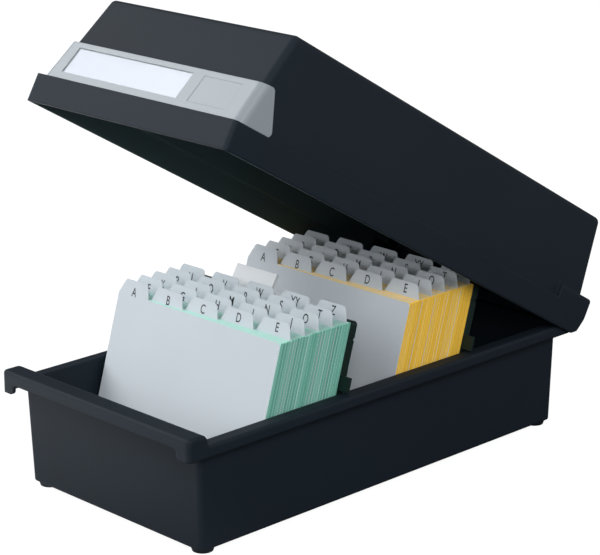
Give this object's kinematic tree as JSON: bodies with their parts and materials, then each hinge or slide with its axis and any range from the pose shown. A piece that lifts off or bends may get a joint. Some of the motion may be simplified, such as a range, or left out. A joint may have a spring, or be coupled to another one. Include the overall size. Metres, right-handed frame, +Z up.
{
  "type": "card index box",
  "caption": "Desktop card-index box: open tray of lettered A6 guide cards and record cards on support plates, under a hinged hood lid with a clear label holder",
  "frame": {"origin": "centre of the tray rim's outline in plan, on the plane of the four feet", "axes": "+Z up, -Y towards the grip bar that faces the user, +X to the user's right"},
  "size_m": [0.1786, 0.3766, 0.2988],
  "materials": {
    "dark_plastic": "finely textured moulded, dark blue-grey",
    "lid_plastic": "finely textured moulded, dark grey",
    "clear_plastic": "clear, slightly frosted",
    "green_plastic": "moulded, very dark green",
    "steel": "plain drawn wire",
    "white_paper": "uncoated white",
    "guide_board": "pale grey semi-rigid plastic sheet with printed letters",
    "record_paper": "uncoated tinted card, green and yellow"
  },
  "bodies": {
    "tray": {"tray": "dark_plastic", "hinge_pin_left": "steel", "hinge_pin_right": "steel"},
    "lid": {"lid": "lid_plastic", "lid_label_holder": "clear_plastic"},
    "lid_label": {"lid_label_card": "white_paper"},
    "front_support": {"support_plate_front": "green_plastic", "plate_rider": "clear_plastic"},
    "rider_label": {"rider_insert": "white_paper"},
    "rear_support": {"support_plate_rear": "green_plastic"},
    "front_a_e": {"front_guides_a_e": "guide_board", "front_cards_a_e": "record_paper"},
    "front_f_j": {"front_guides_f_j": "guide_board", "front_cards_f_j": "record_paper"},
    "front_k_o": {"front_guides_k_o": "guide_board", "front_cards_k_o": "record_paper"},
    "front_p_t": {"front_guides_p_t": "guide_board", "front_cards_p_t": "record_paper"},
    "front_u_z": {"front_guides_u_z": "guide_board", "front_cards_u_z": "record_paper"},
    "rear_a_e": {"rear_guides_a_e": "guide_board", "rear_cards_a_e": "record_paper"},
    "rear_f_j": {"rear_guides_f_j": "guide_board", "rear_cards_f_j": "record_paper"},
    "rear_k_o": {"rear_guides_k_o": "guide_board", "rear_cards_k_o": "record_paper"},
    "rear_p_t": {"rear_guides_p_t": "guide_board", "rear_cards_p_t": "record_paper"},
    "rear_u_z": {"rear_guides_u_z": "guide_board", "rear_cards_u_z": "record_paper"}
  },
  "joints": [
    {"name": "lid_hinge", "type": "hinge", "parent": "tray", "child": "lid", "pos_m": [0, 0.1746, 0.078], "axis": [-1, 0, 0], "range_deg": [-29.94, 62]},
    {"name": "lid_label_slide", "type": "slide", "parent": "lid", "child": "lid_label", "axis": [0, 0.7563, 0.6542], "range_m": [0, 0.03]},
    {"name": "front_support_slide", "type": "slide", "parent": "tray", "child": "front_support", "axis": [0, 1, 0], "range_m": [0, 0.025]},
    {"name": "rider_label_slide", "type": "slide", "parent": "front_support", "child": "rider_label", "axis": [0, 0.5075, 0.8616], "range_m": [0, 0.02]},
    {"name": "rear_support_slide", "type": "slide", "parent": "tray", "child": "rear_support", "axis": [0, 1, 0], "range_m": [0, 0.06]},
    {"name": "front_a_e_lift", "type": "slide", "parent": "tray", "child": "front_a_e", "axis": [0, 0.2807, 0.9598], "range_m": [0, 0.04]},
    {"name": "front_f_j_lift", "type": "slide", "parent": "tray", "child": "front_f_j", "axis": [0, 0.2807, 0.9598], "range_m": [0, 0.04]},
    {"name": "front_k_o_lift", "type": "slide", "parent": "tray", "child": "front_k_o", "axis": [0, 0.2807, 0.9598], "range_m": [0, 0.04]},
    {"name": "front_p_t_lift", "type": "slide", "parent": "tray", "child": "front_p_t", "axis": [0, 0.2807, 0.9598], "range_m": [0, 0.04]},
    {"name": "front_u_z_lift", "type": "slide", "parent": "tray", "child": "front_u_z", "axis": [0, 0.2807, 0.9598], "range_m": [0, 0.04]},
    {"name": "rear_a_e_lift", "type": "slide", "parent": "tray", "child": "rear_a_e", "axis": [0, 0.2807, 0.9598], "range_m": [0, 0.04]},
    {"name": "rear_f_j_lift", "type": "slide", "parent": "tray", "child": "rear_f_j", "axis": [0, 0.2807, 0.9598], "range_m": [0, 0.04]},
    {"name": "rear_k_o_lift", "type": "slide", "parent": "tray", "child": "rear_k_o", "axis": [0, 0.2807, 0.9598], "range_m": [0, 0.04]},
    {"name": "rear_p_t_lift", "type": "slide", "parent": "tray", "child": "rear_p_t", "axis": [0, 0.2807, 0.9598], "range_m": [0, 0.04]},
    {"name": "rear_u_z_lift", "type": "slide", "parent": "tray", "child": "rear_u_z", "axis": [0, 0.2807, 0.9598], "range_m": [0, 0.04]}
  ]
}
